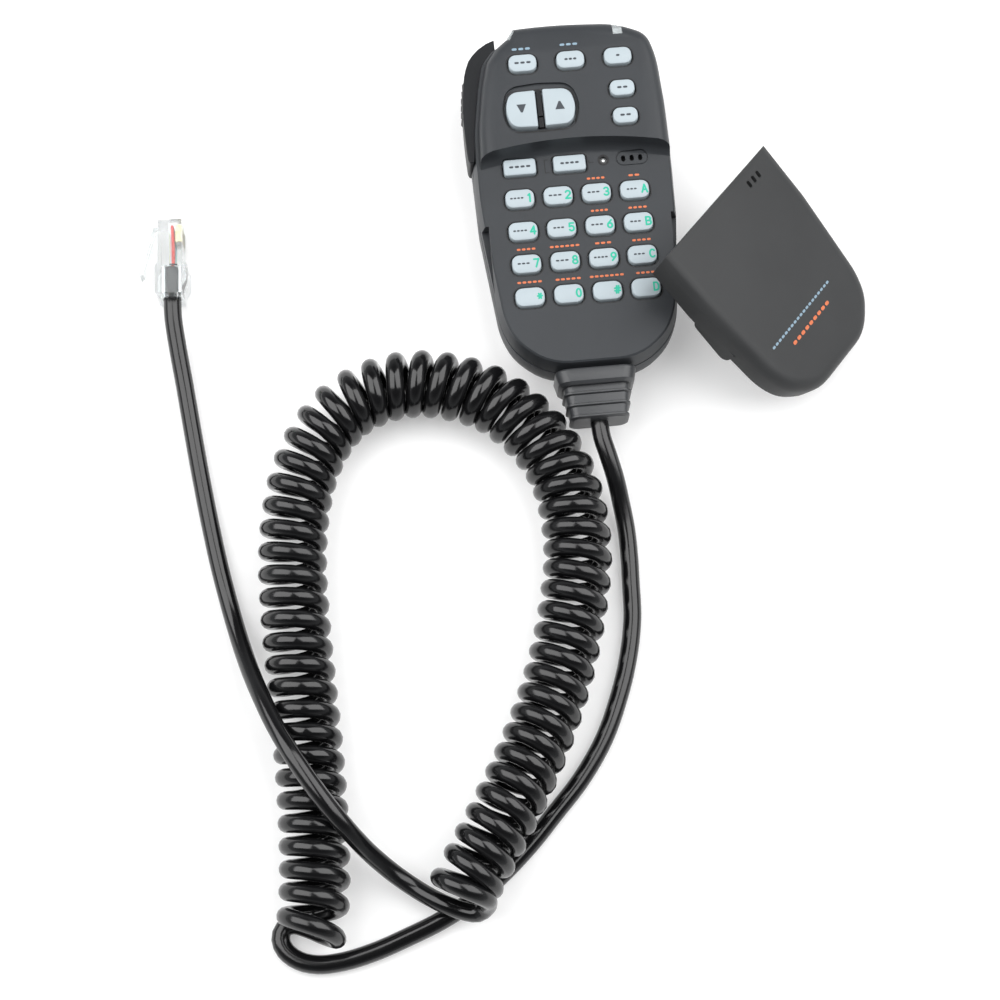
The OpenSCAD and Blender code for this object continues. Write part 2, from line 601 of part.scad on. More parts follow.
module cord_coil() {
    color("#141415") tube(coil_route, coil_d, 12, [0, 1, 0], unit([-6, -9.6, 0]));
}

module cord_lead_plug() {
    color("#141415") tube(plug_route, cord_d, 10, unit([-6, -9.6, 0]), heading(plug_turn));
}

// ---- plug: local +Y is the way it is pushed in, the latch is at -X, the contacts lie side by side along Z ----
latch_root = [-4.3, 20.0];
latch_root_r = 0.65;
contact_z = [for (k = [0 : 7]) (k - 3.5) * 1.02];
module in_plug() {
    translate(plug_at) rotate([0, 0, plug_turn]) children();
}

module plug_body() {
    color("#dfe9ea", 0.5) in_plug() difference() {
        union() {
            block_at(-3.3, 3.3, 0, plug_length, -plug_width / 2, plug_width / 2);
            linear_extrude(plug_width - 0.4, center = true)
                polygon([[3.2, 1.6], [4.5, 3.8], [4.5, 8.6], [3.2, 8.6]]);
            linear_extrude(plug_width - 0.4, center = true)
                polygon([[-3.2, 0], [-4.1, 0.6], [-4.1, 8.0], [-3.2, 9.6]]);
        }
        rotate([-90, 0, 0]) translate([0, 0, -1]) cylinder(r = 2.75, h = 10);
        block_at(-0.4, 1.9, 8.8, plug_length - 0.8, -4.25, 4.25);
        for (z = contact_z) block_at(1.8, 4, plug_length - 6.4, plug_length - 0.9, z - 0.27, z + 0.27);
    }
}

module plug_latch() {
    color("#dfe9ea", 0.5) in_plug() {
        translate([latch_root.x, latch_root.y]) cylinder(r = latch_root_r, h = 6, center = true);
        linear_extrude(6, center = true) polygon([[-3.9, 19.8], [-3.85, 18.6], [-5.0, 15.4], [-7.6, 6.4],
            [-8.6, 6.2], [-8.9, 6.9], [-6.4, 16.2], [-4.85, 20.0]]);
    }
}

module plug_contacts() {
    color("#cda94a") in_plug() for (z = contact_z)
        translate([0, 0, z - 0.22]) linear_extrude(0.44)
            polygon([[1.4, 15.5], [3.1, 15.5], [3.1, 20.2], [2.7, 20.5], [1.4, 20.5]]);
}

module plug_jacket() {
    color("#141415") in_plug() rotate([-90, 0, 0]) cylinder(r = cord_d / 2, h = 8.7);
}

module plug_wires() {
    color("#c23b34") in_plug() for (z = contact_z)
        translate([0.5, 0, z]) rotate([-90, 0, 0]) translate([0, 0, 8.9]) cylinder(r = 0.45, h = 11.4, $fn = 16);
}

module key_mode() {
    upper_key(mode_key);
}

module key_memory() {
    upper_key(memory_key);
}

module key_backlight() {
    upper_key(backlight_key);
}

module key_f1() {
    upper_key(f1_key);
}

module key_f2() {
    upper_key(f2_key);
}

module key_tone() {
    face_key(tone_key);
}

module key_function() {
    face_key(function_key);
}

module key_1() {
    pad(0, 0);
}

module key_2() {
    pad(1, 0);
}

module key_3() {
    pad(2, 0);
}

module key_a() {
    pad(3, 0);
}

module key_4() {
    pad(0, 1);
}

module key_5() {
    pad(1, 1);
}

module key_6() {
    pad(2, 1);
}

module key_b() {
    pad(3, 1);
}

module key_7() {
    pad(0, 2);
}

module key_8() {
    pad(1, 2);
}

module key_9() {
    pad(2, 2);
}

module key_c() {
    pad(3, 2);
}

module key_star() {
    pad(0, 3);
}

module key_0() {
    pad(1, 3);
}

module key_hash() {
    pad(2, 3);
}

module key_d() {
    pad(3, 3);
}

front_case();
rear_case();
hanger_stud();
hanger_screw();
case_screws();
circuit_board();
board_chips();
dome_contacts();
backlight_leds();
indicator_leds();
keypad_membrane();
microphone_capsule();
capsule_boot();
port_felt();
status_lamp();
lens_right();
lens_left();
cord_connector();
cord_clamp();
cord_boot();
ptt_switch();
ptt_pivot_pin();
ptt_spring();
ptt_lever();
rocker_bar();
key_mode();
key_memory();
key_backlight();
key_f1();
key_f2();
key_down();
key_up();
key_tone();
key_function();
key_1();
key_2();
key_3();
key_a();
key_4();
key_5();
key_6();
key_b();
key_7();
key_8();
key_9();
key_c();
key_star();
key_0();
key_hash();
key_d();
cover();
cord_lead_handset();
cord_coil();
cord_lead_plug();
plug_body();
plug_latch();
plug_contacts();
plug_jacket();
plug_wires();
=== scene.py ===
"""Looks of a hand microphone with its coiled cord, modular plug and loose keypad cover.

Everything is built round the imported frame, in metres. Lengths named in millimetres are multiplied by MM.
"""

import json
import math

import bmesh
import bpy
import numpy as np
from mathutils import Euler, Matrix, Quaternion, Vector


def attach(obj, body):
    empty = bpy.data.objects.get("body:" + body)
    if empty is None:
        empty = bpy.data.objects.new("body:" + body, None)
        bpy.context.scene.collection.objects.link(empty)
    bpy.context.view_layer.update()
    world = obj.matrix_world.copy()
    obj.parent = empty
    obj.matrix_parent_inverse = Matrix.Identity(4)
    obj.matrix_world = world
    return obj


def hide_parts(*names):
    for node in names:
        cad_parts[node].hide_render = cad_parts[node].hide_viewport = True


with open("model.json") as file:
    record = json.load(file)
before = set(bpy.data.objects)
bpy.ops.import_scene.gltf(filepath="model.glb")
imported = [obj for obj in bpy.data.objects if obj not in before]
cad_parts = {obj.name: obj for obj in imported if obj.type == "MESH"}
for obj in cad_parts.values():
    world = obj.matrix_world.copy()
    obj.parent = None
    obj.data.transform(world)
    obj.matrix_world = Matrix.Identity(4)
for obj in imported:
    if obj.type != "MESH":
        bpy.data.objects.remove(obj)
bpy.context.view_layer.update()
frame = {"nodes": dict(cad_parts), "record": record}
MM = 0.001
HANDSET = "handset"

# ---------------------------------------------------------------- camera

CAMERA_AT = (-54.5, -240.1, 608.8)
CAMERA_TARGET = (-28.3, -78.2, 0.0)
CAMERA_ROLL = 5.67
CAMERA_LENS = 83.2


def make_camera():
    eye = Vector(CAMERA_AT) * MM
    forward = (Vector(CAMERA_TARGET) * MM - eye).normalized()
    right = forward.cross(Vector((0, 1, 0))).normalized()
    up = right.cross(forward)
    level = Matrix((right, up, -forward)).transposed().to_quaternion()
    camera = bpy.data.objects.new("camera", bpy.data.cameras.new("camera"))
    camera.data.lens = CAMERA_LENS
    camera.data.clip_start = 0.01
    camera.location = eye
    camera.rotation_mode = "QUATERNION"
    camera.rotation_quaternion = Quaternion(forward, math.radians(CAMERA_ROLL)) @ level
    bpy.context.scene.collection.objects.link(camera)
    bpy.context.scene.camera = camera


# ---------------------------------------------------------------- cord

CORD_D = 4.9
COIL_RADIUS = 6.85
COIL_TURNS = 56
COIL_STEPS = 24
CURVE_STEP = 1.5
# how far the first turns are drawn back, and over how many turns
FIRST_PULL, FIRST_PULL_TURNS = 3.4, 1.4
# the last turn is drawn back at its end and pushed on half a turn before it
LAST_PULL, LAST_PULL_TURNS = 2.6, 0.25
LAST_PUSH, LAST_PUSH_TURNS = 1.2, 0.33
# points that the cord passes through, from the boot to the coil, along the coil and on to the plug
HANDSET_ROUTE = [
    (0, -62.2, 12.0), (0.3, -66.5, 11.9), (1.4, -71.0, 11.0), (2.9, -77.0, 8.6), (4.0, -83.5, 5.6),
    (4.8, -90.0, 3.4), (4.9, -97.0, 2.5), (4.5, -105.0, 2.5), (3.8, -115.0, 2.5), (1.5, -125.5, 2.5),
    (-2.0, -135.5, 2.5), (-7.2, -146.5, 2.5), (-14.3, -156.5, 2.5), (-22.3, -165.0, 2.5), (-29.6, -172.5, 2.5),
    (-37.8, -179.6, 2.5), (-46.0, -185.4, 2.5), (-54.5, -189.8, 2.5), (-63.5, -193.2, 2.5), (-72.0, -196.0, 2.5),
    (-80.0, -197.7, 2.5), (-87.0, -197.9, 2.5), (-91.8, -196.4, 2.5), (-95.0, -193.6, 2.5),
    (-96.0, -190.6, 2.5), (-95.0, -188.0, 2.5), (-92.4, -187.2, 2.5), (-88.6, -188.6, 2.5), (-84.6, -190.8, 3.9),
]
COIL_ROUTE = [
    (-87.8, -190.4, 9.5), (-86.3, -182.0, 9.4), (-85.3, -170.0, 9.4), (-84.9, -157.0, 9.4),
    (-84.9, -142.0, 9.4), (-85.4, -125.0, 9.4), (-85.7, -108.0, 9.4), (-85.3, -92.0, 9.4), (-83.4, -78.8, 9.4),
    (-80.2, -68.0, 9.4), (-75.1, -58.7, 9.4), (-68.4, -51.7, 9.4), (-59.8, -47.5, 9.4), (-50.0, -46.0, 9.4),
    (-39.7, -47.6, 9.4), (-28.6, -52.3, 9.4), (-20.6, -59.4, 9.4), (-15.1, -66.9, 9.4), (-11.2, -75.7, 9.4),
    (-9.4, -86.5, 9.4), (-9.5, -98.0, 9.4), (-12.1, -111.2, 9.4), (-16.3, -125.3, 9.6), (-21.9, -139.3, 10.6),
    (-28.4, -152.2, 12.4), (-35.2, -163.9, 14.4), (-42.6, -175.4, 14.8), (-50.0, -186.4, 14.6),
]
# from the helix's last point, at its right-hand side, the cord dips under the coil and leaves to the left
LEAVING_ROUTE = [
    (-42.4, -188.0, 10.8), (-44.8, -189.2, 8.6), (-48.6, -188.2, 7.7), (-52.9, -186.2, 7.6), (-56.6, -183.9, 6.8),
]
PLUG_ROUTE = [
    (-60.6, -180.9, 5.8), (-65.6, -176.8, 7.0), (-70.8, -172.0, 11.6), (-74.6, -167.8, 16.4),
    (-77.4, -164.2, 19.6), (-81.4, -158.4, 21.9), (-85.4, -151.8, 22.4), (-89.4, -144.4, 21.8),
    (-92.8, -137.0, 19.0), (-95.4, -130.2, 15.8), (-97.9, -123.0, 11.4), (-100.1, -115.4, 7.2),
    (-102.0, -107.6, 4.1), (-103.7, -99.4, 2.7), (-105.4, -90.0, 2.5), (-107.2, -77.5, 2.5),
    (-108.8, -64.5, 2.5), (-110.2, -51.5, 2.6), (-111.5, -38.5, 3.2), (-112.6, -28.0, 4.6),
    (-113.2, -20.0, 5.7), (-113.1, -14.6, 5.85),
]


def smooth(points, step):
    """Points about every step along one centripetal curve through the given points."""
    given = [np.array(p, float) for p in points]
    given = [2 * given[0] - given[1], *given, 2 * given[-1] - given[-2]]
    made = []
    for p0, p1, p2, p3 in zip(given, given[1:], given[2:], given[3:]):
        t0 = 0.0
        t1 = t0 + np.linalg.norm(p1 - p0) ** 0.5
        t2 = t1 + np.linalg.norm(p2 - p1) ** 0.5
        t3 = t2 + np.linalg.norm(p3 - p2) ** 0.5
        count = max(1, round(np.linalg.norm(p2 - p1) / step))
        for k in range(count):
            t = t1 + (t2 - t1) * k / count
            a = (p0 * (t1 - t) + p1 * (t - t0)) / (t1 - t0)
            b = (p1 * (t2 - t) + p2 * (t - t1)) / (t2 - t1)
            c = (p2 * (t3 - t) + p3 * (t - t2)) / (t3 - t2)
            d = (a * (t2 - t) + b * (t - t0)) / (t2 - t0)
            e = (b * (t3 - t) + c * (t - t1)) / (t3 - t1)
            made.append((d * (t2 - t) + e * (t - t1)) / (t2 - t1))
    return [*made, given[-2]]


def helix(route):
    """Centreline of the left-handed coil round its route; both end turns are drawn out a little."""
    axis = np.array(smooth(route, 1.0))
    along = np.concatenate(([0.0], np.cumsum(np.linalg.norm(np.diff(axis, axis=0), axis=1))))
    reach = 2.0

    def on_axis(distance):
        return np.array([np.interp(distance, along, axis[:, i]) for i in range(3)])

    made = []
    for k in range(COIL_STEPS // 4, COIL_TURNS * COIL_STEPS - COIL_STEPS // 4 + 1):
        here = along[-1] * k / (COIL_TURNS * COIL_STEPS)
        turn = k / COIL_STEPS
        left = COIL_TURNS - 0.25 - turn
        pulled = FIRST_PULL * max(0.0, 1 - turn / FIRST_PULL_TURNS) ** 2
        pulled += LAST_PULL * math.exp(-((left / LAST_PULL_TURNS) ** 2))
        pulled -= LAST_PUSH * math.exp(-(((left - 0.5) / LAST_PUSH_TURNS) ** 2))
        centre = on_axis(here)
        ahead, behind = on_axis(here + reach), on_axis(here - reach)
        tangent = (ahead - behind) / np.linalg.norm(ahead - behind)
        side = np.cross(tangent, (0, 0, 1))
        side = side / np.linalg.norm(side)
        up = np.cross(side, tangent)
        angle = 2 * math.pi * k / COIL_STEPS - math.pi / 2
        around = math.cos(angle) * side + math.sin(angle) * up
        made.append(centre + COIL_RADIUS * around - pulled * tangent)
    return made


def make_cord(look):
    coil = helix(COIL_ROUTE)
    points = [
        *smooth([*HANDSET_ROUTE, coil[0], coil[2]], CURVE_STEP)[:-2],
        *coil[1:-1],
        *smooth([coil[-2], coil[-1], *LEAVING_ROUTE, *PLUG_ROUTE], CURVE_STEP)[1:],
    ]
    curve = bpy.data.curves.new("cord", "CURVE")
    curve.dimensions = "3D"
    curve.bevel_depth = CORD_D / 2 * MM
    curve.bevel_resolution = 5
    spline = curve.splines.new("POLY")
    spline.points.add(len(points) - 1)
    spline.points.foreach_set("co", [x for p in points for x in (*(p * MM), 1.0)])
    spline.use_smooth = True
    curve.materials.append(look)
    cord = bpy.data.objects.new("cord", curve)
    bpy.context.scene.collection.objects.link(cord)
    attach(cord, HANDSET)
    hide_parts("cord_lead_handset", "cord_coil", "cord_lead_plug")
    length = sum(np.linalg.norm(b - a) for a, b in zip(points, points[1:])) * MM
    print("cord length", round(float(length), 4))
    return cord


# ---------------------------------------------------------------- materials


# noise seldom leaves this range
NOISE_LOW, NOISE_HIGH = 0.3, 0.7
LAMP_AT = (8.2, 9.6)


def new_material(name):
    made = bpy.data.materials.new(name)
    made.use_nodes = True
    tree = made.node_tree
    shader = tree.nodes["Principled BSDF"]
    return made, tree, shader


def noise(tree, scale, detail=4.0, stretch=(1, 1, 1)):
    """Noise in the object's own metres; scale is the number of features in a metre."""
    place = tree.nodes.new("ShaderNodeTexCoord")
    mapping = tree.nodes.new("ShaderNodeMapping")
    mapping.inputs["Scale"].default_value = stretch
    texture = tree.nodes.new("ShaderNodeTexNoise")
    texture.inputs["Scale"].default_value = scale
    texture.inputs["Detail"].default_value = detail
    tree.links.new(place.outputs["Object"], mapping.inputs["Vector"])
    tree.links.new(mapping.outputs["Vector"], texture.inputs["Vector"])
    return texture.outputs["Fac"]


def spread(tree, value, low, high):
    """A noise value carried to the range low to high."""
    made = tree.nodes.new("ShaderNodeMapRange")
    made.inputs["From Min"].default_value = NOISE_LOW
    made.inputs["From Max"].default_value = NOISE_HIGH
    made.inputs["To Min"].default_value = low
    made.inputs["To Max"].default_value = high
    tree.links.new(value, made.inputs["Value"])
    return made.outputs["Result"]


def tint(tree, value, dark, light):
    """A noise value carried to colours from dark to light."""
    made = tree.nodes.new("ShaderNodeValToRGB")
    made.color_ramp.elements[0].position = NOISE_LOW
    made.color_ramp.elements[1].position = NOISE_HIGH
    made.color_ramp.elements[0].color = (*dark, 1)
    made.color_ramp.elements[1].color = (*light, 1)
    tree.links.new(value, made.inputs["Fac"])
    return made.outputs["Color"]


def bump(tree, value, depth, strength):
    made = tree.nodes.new("ShaderNodeBump")
    made.inputs["Strength"].default_value = strength
    made.inputs["Distance"].default_value = depth
    tree.links.new(value, made.inputs["Height"])
    return made.outputs["Normal"]


def moulded(name, colour, rough, grain=2600.0, depth=0.00004, vary=0.10, rough_vary=0.06, shine=0.5):
    """Moulded plastic or rubber: a fine grain, broad tone changes and uneven roughness."""
    made, tree, shader = new_material(name)
    broad = noise(tree, 45.0, 3.0)
    fine = noise(tree, grain, 2.0)
    tree.links.new(
        tint(tree, broad, [c * (1 - vary) for c in colour], [c * (1 + vary) for c in colour]),
        shader.inputs["Base Color"],
    )
    tree.links.new(spread(tree, broad, rough - rough_vary, rough + rough_vary), shader.inputs["Roughness"])
    tree.links.new(bump(tree, fine, depth, 0.35), shader.inputs["Normal"])
    shader.inputs["Specular IOR Level"].default_value = shine
    return made


def metal(name, colour, rough):
    made, tree, shader = new_material(name)
    grain = noise(tree, 900.0, 3.0)
    tree.links.new(tint(tree, grain, [c * 0.82 for c in colour], colour), shader.inputs["Base Color"])
    tree.links.new(spread(tree, grain, rough - 0.08, rough + 0.08), shader.inputs["Roughness"])
    tree.links.new(bump(tree, grain, 0.00001, 0.2), shader.inputs["Normal"])
    shader.inputs["Metallic"].default_value = 1.0
    return made


def clear(name, colour, rough, transmission, index):
    """Clear plastic with faint flow waves."""
    made, tree, shader = new_material(name)
    flow = noise(tree, 160.0, 2.0, (1, 0.25, 1))
    shader.inputs["Base Color"].default_value = (*colour, 1)
    tree.links.new(spread(tree, flow, max(rough - 0.03, 0), rough + 0.03), shader.inputs["Roughness"])
    tree.links.new(bump(tree, flow, 0.00008, 0.25), shader.inputs["Normal"])
    shader.inputs["Transmission Weight"].default_value = transmission
    shader.inputs["IOR"].default_value = index
    return made


def lamp_lens(centre):
    """Smoked lens with a painted highlight: a pale spot laid into its colour at the centre."""
    made, tree, shader = new_material("lamp_lens")
    place = tree.nodes.new("ShaderNodeTexCoord")
    flat = tree.nodes.new("ShaderNodeVectorMath")
    flat.operation = "MULTIPLY"
    flat.inputs[1].default_value = (1, 1, 0)
    away = tree.nodes.new("ShaderNodeVectorMath")
    away.operation = "DISTANCE"
    away.inputs[1].default_value = (centre[0] * MM, centre[1] * MM, 0)
    ramp = tree.nodes.new("ShaderNodeMapRange")
    highlight_edge, highlight_core = 0.00045, 0.00030
    ramp.inputs["From Min"].default_value = highlight_edge
    ramp.inputs["From Max"].default_value = highlight_core
    colour = tree.nodes.new("ShaderNodeValToRGB")
    # the dark smoked lens, and the pale painted highlight at its centre
    colour.color_ramp.elements[0].color = (0.004, 0.004, 0.005, 1)
    colour.color_ramp.elements[1].color = (0.80, 0.84, 0.84, 1)
    tree.links.new(place.outputs["Object"], flat.inputs[0])
    tree.links.new(flat.outputs["Vector"], away.inputs[0])
    tree.links.new(away.outputs["Value"], ramp.inputs["Value"])
    tree.links.new(ramp.outputs["Result"], colour.inputs["Fac"])
    tree.links.new(colour.outputs["Color"], shader.inputs["Base Color"])
    tree.links.new(spread(tree, noise(tree, 900.0), 0.08, 0.2), shader.inputs["Roughness"])
    return made


def ink(name, colour):
    """Matt printing ink, a little patchy; the shadow ink made with it is painted shade."""
    made, tree, shader = new_material(name)
    patch = noise(tree, 1800.0, 3.0)
    tree.links.new(tint(tree, patch, [c * 0.86 for c in colour], colour), shader.inputs["Base Color"])
    tree.links.new(spread(tree, patch, 0.5, 0.7), shader.inputs["Roughness"])
    return made


LOOKS = {
    "case": moulded("case_plastic", (0.032, 0.035, 0.039), 0.44, shine=0.27),
    "lever": moulded("lever_plastic", (0.012, 0.013, 0.015), 0.42, shine=0.2),
    "cover": moulded("cover_plastic", (0.033, 0.034, 0.035), 0.46, grain=3200.0, shine=0.24),
    "key": moulded("key_plastic", (0.375, 0.43, 0.46), 0.45, grain=1500.0, depth=0.00002, vary=0.03,
                   shine=0.35),
    "boot": moulded("boot_rubber", (0.036, 0.038, 0.041), 0.36, grain=2000.0),
    "cord": moulded("cord_jacket", (0.005, 0.005, 0.0055), 0.17, grain=420.0, depth=0.00003,
                    rough_vary=0.05),
    "dark": moulded("parts_dark", (0.02, 0.02, 0.02), 0.5),
    "board": moulded("board", (0.03, 0.16, 0.07), 0.35),
    "silicone": moulded("silicone", (0.62, 0.66, 0.66), 0.55),
    "nylon": moulded("nylon", (0.72, 0.70, 0.60), 0.5),
    "felt": moulded("felt", (0.008, 0.008, 0.008), 0.95, grain=5000.0, depth=0.0001),
    "steel": metal("steel", (0.62, 0.63, 0.65), 0.34),
    "gold": metal("gold_contact", (0.66, 0.56, 0.34), 0.28),
    "clear": clear("clear_plastic", (0.91, 0.94, 0.945), 0.05, 0.98, 1.3),
    "lens": clear("lens_plastic", (0.80, 0.84, 0.85), 0.16, 0.72, 1.2),
    "red": moulded("wire_red", (0.80, 0.07, 0.06), 0.4),
    "wire_0": moulded("wire_grey", (0.62, 0.64, 0.65), 0.4),
    "wire_1": moulded("wire_green", (0.25, 0.55, 0.35), 0.4),
    "wire_2": moulded("wire_yellow", (0.75, 0.62, 0.18), 0.4),
    "wire_3": moulded("wire_blue", (0.35, 0.50, 0.70), 0.4),
    "wire_4": moulded("wire_white", (0.85, 0.85, 0.84), 0.4),
    "wire_5": moulded("wire_brown", (0.35, 0.20, 0.12), 0.4),
    "wire_6": moulded("wire_pink", (0.85, 0.55, 0.55), 0.4),
    "orange_ink": ink("orange_ink", (0.60, 0.15, 0.055)),
    "blue_ink": ink("blue_ink", (0.22, 0.32, 0.40)),
    "green_ink": ink("green_ink", (0.012, 0.42, 0.28)),
    "dark_ink": ink("dark_ink", (0.035, 0.042, 0.052)),
    # painted shade: a near-black sheet laid in gaps and along edges where shade falls
    "shadow_ink": ink("shadow_ink", (0.004, 0.004, 0.005)),
    "lamp": lamp_lens(LAMP_AT),
}
NODE_LOOKS = {
    "steel": ["hanger_stud", "hanger_screw", "case_screws", "dome_contacts", "microphone_capsule", "cord_clamp",
              "ptt_pivot_pin", "ptt_spring"],
    "board": ["circuit_board"],
    "dark": ["board_chips", "ptt_switch"],
    "silicone": ["backlight_leds", "indicator_leds", "keypad_membrane"],
    "boot": ["capsule_boot"],
    "felt": ["port_felt"],
    "lens": ["lens_right", "lens_left"],
    "lamp": ["status_lamp"],
    "nylon": ["cord_connector"],
    "gold": ["plug_contacts"],
    "cord": ["plug_jacket"],
}


def dress_nodes():
    for look, names in NODE_LOOKS.items():
        for name in names:
            for slot in frame["nodes"][name].material_slots:
                slot.material = LOOKS[look]


# ---------------------------------------------------------------- refined shells

BODY_OF = {name: body for body, names in frame["record"]["behaviour"]["bodies"].items() for name in names}


def refined(node, look, edge):
    """A copy of a CAD node with merged facets, small rounded edges and smooth shading, in its place."""
    mesh = frame["nodes"][node].data
    points = [v.co.copy() for v in mesh.vertices]
    form = bmesh.new()
    made = [form.verts.new(p) for p in points]
    for face in mesh.polygons:
        try:
            form.faces.new([made[i] for i in face.vertices])
        except ValueError:
            pass
    bmesh.ops.remove_doubles(form, verts=form.verts, dist=0.0000015)
    bmesh.ops.dissolve_limit(form, angle_limit=math.radians(0.6), verts=form.verts, edges=form.edges)
    bmesh.ops.recalc_face_normals(form, faces=form.faces)
    new = bpy.data.meshes.new(node + "_shape")
    form.to_mesh(new)
    form.free()
    new.materials.append(LOOKS[look])
    new.shade_smooth()
    new.set_sharp_from_angle(angle=math.radians(33))
    piece = bpy.data.objects.new(node + "_finished", new)
    bpy.context.scene.collection.objects.link(piece)
    rounding = piece.modifiers.new("edges", "BEVEL")
    rounding.width = edge * MM
    rounding.segments = 2
    rounding.limit_method = "ANGLE"
    rounding.angle_limit = math.radians(38)
    rounding.use_clamp_overlap = True
    rounding.harden_normals = True
    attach(piece, BODY_OF[node])
    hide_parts(node)
    return piece


def make_shells():
    refined("front_case", "case", 0.12)
    refined("rear_case", "case", 0.10)
    refined("ptt_lever", "lever", 0.30)
    refined("cord_boot", "boot", 0.20)
    refined("cover", "cover", 0.10)
    refined("rocker_bar", "lever", 0.10)
    for key in [name for name in frame["nodes"] if name.startswith("key_")]:
        refined(key, "key", 0.06)
    for part in ("plug_body", "plug_latch"):
        refined(part, "clear", 0.15)


# ---------------------------------------------------------------- printed marks

INK_HEIGHT = 0.03
LAYER_LIFT, LAYERS = 0.0012, 30
# heights of the shell's low and raised faces, and of the key tops above them
FACE_Z, BLOCK_Z = 21.5, 27.0
KEY_TOP, BLOCK_KEY_TOP = 22.6, 28.1
PITCH_X, PITCH_Y = 10.5, 9.5
ARC_POINTS = 7
PAD = [["1", "2", "3", "a"], ["4", "5", "6", "b"], ["7", "8", "9", "c"], ["star", "0", "hash", "d"]]
COVER_AT = (41.0, -19.1, 24.3)
COVER_TURN = (24.9, 18.3, 47.9)
COVER_TOP = 5.7


class Print:
    """Flat printed shapes gathered into one mesh, in millimetres on a level plane."""

    def __init__(self, name, body, slot, inks, at=Matrix.Identity(4)):
        self.name, self.body, self.slot, self.inks, self.at = name, body, slot, inks, at
        self.form = bmesh.new()
        self.layer = 0

    def shape(self, ink_index, points, z):
        """A flat face, each one a hair above the last so that none coincide."""
        self.layer = (self.layer + 1) % LAYERS
        lift = z + self.layer * LAYER_LIFT
        face = self.form.faces.new([self.form.verts.new((x, y, lift)) for x, y in points])
        face.material_index = ink_index

    def band(self, ink_index, x, y, w, h, r, inner, outer, z):
        """A closed band round a rounded box."""
        loops = []
        for grow in (inner, outer):
            corner = r + grow
            loop = []
            for sx, sy, a in ((1, 1, 0), (-1, 1, 90), (-1, -1, 180), (1, -1, 270)):
                cx = x + sx * (w / 2 + grow - corner)
                cy = y + sy * (h / 2 + grow - corner)
                for k in range(ARC_POINTS):
                    turn = math.radians(a + k * 90 / (ARC_POINTS - 1))
                    loop.append(self.form.verts.new((cx + corner * math.cos(turn),
                                                     cy + corner * math.sin(turn), z)))
            loops.append(loop)
        count = len(loops[0])
        for k in range(count):
            n = (k + 1) % count
            face = self.form.faces.new((loops[0][k], loops[1][k], loops[1][n], loops[0][n]))
            face.material_index = ink_index

    def capsule(self, ink_index, start, end, width, z):
        """A bar from start to end with round ends."""
        turn = math.atan2(end[1] - start[1], end[0] - start[0])
        points = []
        for (cx, cy), quarter in ((end, -1), (start, 1)):
            for k in range(ARC_POINTS):
                a = turn + quarter * math.pi / 2 + math.pi * k / (ARC_POINTS - 1)
                points.append((cx + width / 2 * math.cos(a), cy + width / 2 * math.sin(a)))
        self.shape(ink_index, points, z)

    def stroke(self, ink_index, points, width, z):
        """A line of even width through points, with round corners and ends."""
        for start, end in zip(points, points[1:]):
            self.capsule(ink_index, start, end, width, z)

    def done(self):
        """The gathered shapes as one piece in metres, riding on its body."""
        mesh = bpy.data.meshes.new(self.name)
        for vertex in self.form.verts:
            vertex.co = self.at @ vertex.co * MM
        self.form.normal_update()
        self.form.to_mesh(mesh)
        self.form.free()
        for look in self.inks:
            mesh.materials.append(LOOKS[look])
        piece = bpy.data.objects.new(self.name, mesh)
        bpy.context.scene.collection.objects.link(piece)
        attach(piece, self.body)


def arc_points(cx, cy, rx, ry, start, end, count=10):
    return [(cx + rx * math.cos(math.radians(start + (end - start) * k / count)),
             cy + ry * math.sin(math.radians(start + (end - start) * k / count))) for k in range(count + 1)]


# strokes of each mark in a box one wide and one and a half high, centred on nought
GLYPHS = {
    "1": [[(-0.25, 0.5), (0.05, 0.75), (0.05, -0.75)]],
    "2": [[*arc_points(0, 0.32, 0.45, 0.43, 160, -30), (-0.45, -0.75), (0.48, -0.75)]],
    "3": [arc_points(0, 0.36, 0.42, 0.39, 150, -90), arc_points(0, -0.36, 0.46, 0.39, 90, -150)],
    "4": [[(0.22, -0.75), (0.22, 0.75), (-0.48, -0.3), (0.5, -0.3)]],
    "5": [[(0.42, 0.75), (-0.34, 0.75), (-0.4, 0.08), *arc_points(0, -0.27, 0.46, 0.48, 120, -150)]],
    "6": [[(0.3, 0.75), *arc_points(0.02, -0.3, 0.46, 0.62, 150, 190, 3)],
          arc_points(0, -0.3, 0.44, 0.45, 0, 360, 16)],
    "7": [[(-0.45, 0.75), (0.46, 0.75), (-0.1, -0.75)]],
    "8": [arc_points(0, 0.38, 0.38, 0.37, 0, 360, 16), arc_points(0, -0.36, 0.46, 0.39, 0, 360, 16)],
    "9": [[(-0.3, -0.75), *arc_points(-0.02, 0.3, 0.46, 0.62, -30, 10, 3)],
          arc_points(0, 0.3, 0.44, 0.45, 0, 360, 16)],
    "0": [arc_points(0, 0, 0.42, 0.75, 0, 360, 18)],
    "a": [[(-0.5, -0.75), (0, 0.75), (0.5, -0.75)], [(-0.3, -0.25), (0.3, -0.25)]],
    "b": [[(0, 0.02), (-0.42, 0.02), (-0.42, 0.75), (0, 0.75), *arc_points(0, 0.385, 0.42, 0.365, 90, -90)],
          [(-0.42, 0.02), (-0.42, -0.75), (0.05, -0.75), *arc_points(0.05, -0.365, 0.45, 0.385, -90, 90)]],
    "c": [arc_points(0.05, 0, 0.5, 0.75, 45, 315, 16)],
    "d": [[(-0.4, 0.75), (-0.4, -0.75), (0, -0.75), *arc_points(0, 0, 0.46, 0.75, -90, 90, 14), (-0.4, 0.75)]],
    "star": [[(math.cos(a) * 0.5, math.sin(a) * 0.6), (-math.cos(a) * 0.5, -math.sin(a) * 0.6)]
             for a in (0, math.pi / 3, 2 * math.pi / 3)],
    "hash": [[(-0.1, 0.7), (-0.26, -0.7)], [(0.28, 0.7), (0.12, -0.7)], [(-0.5, 0.25), (0.5, 0.25)],
             [(-0.5, -0.25), (0.5, -0.25)]],
}


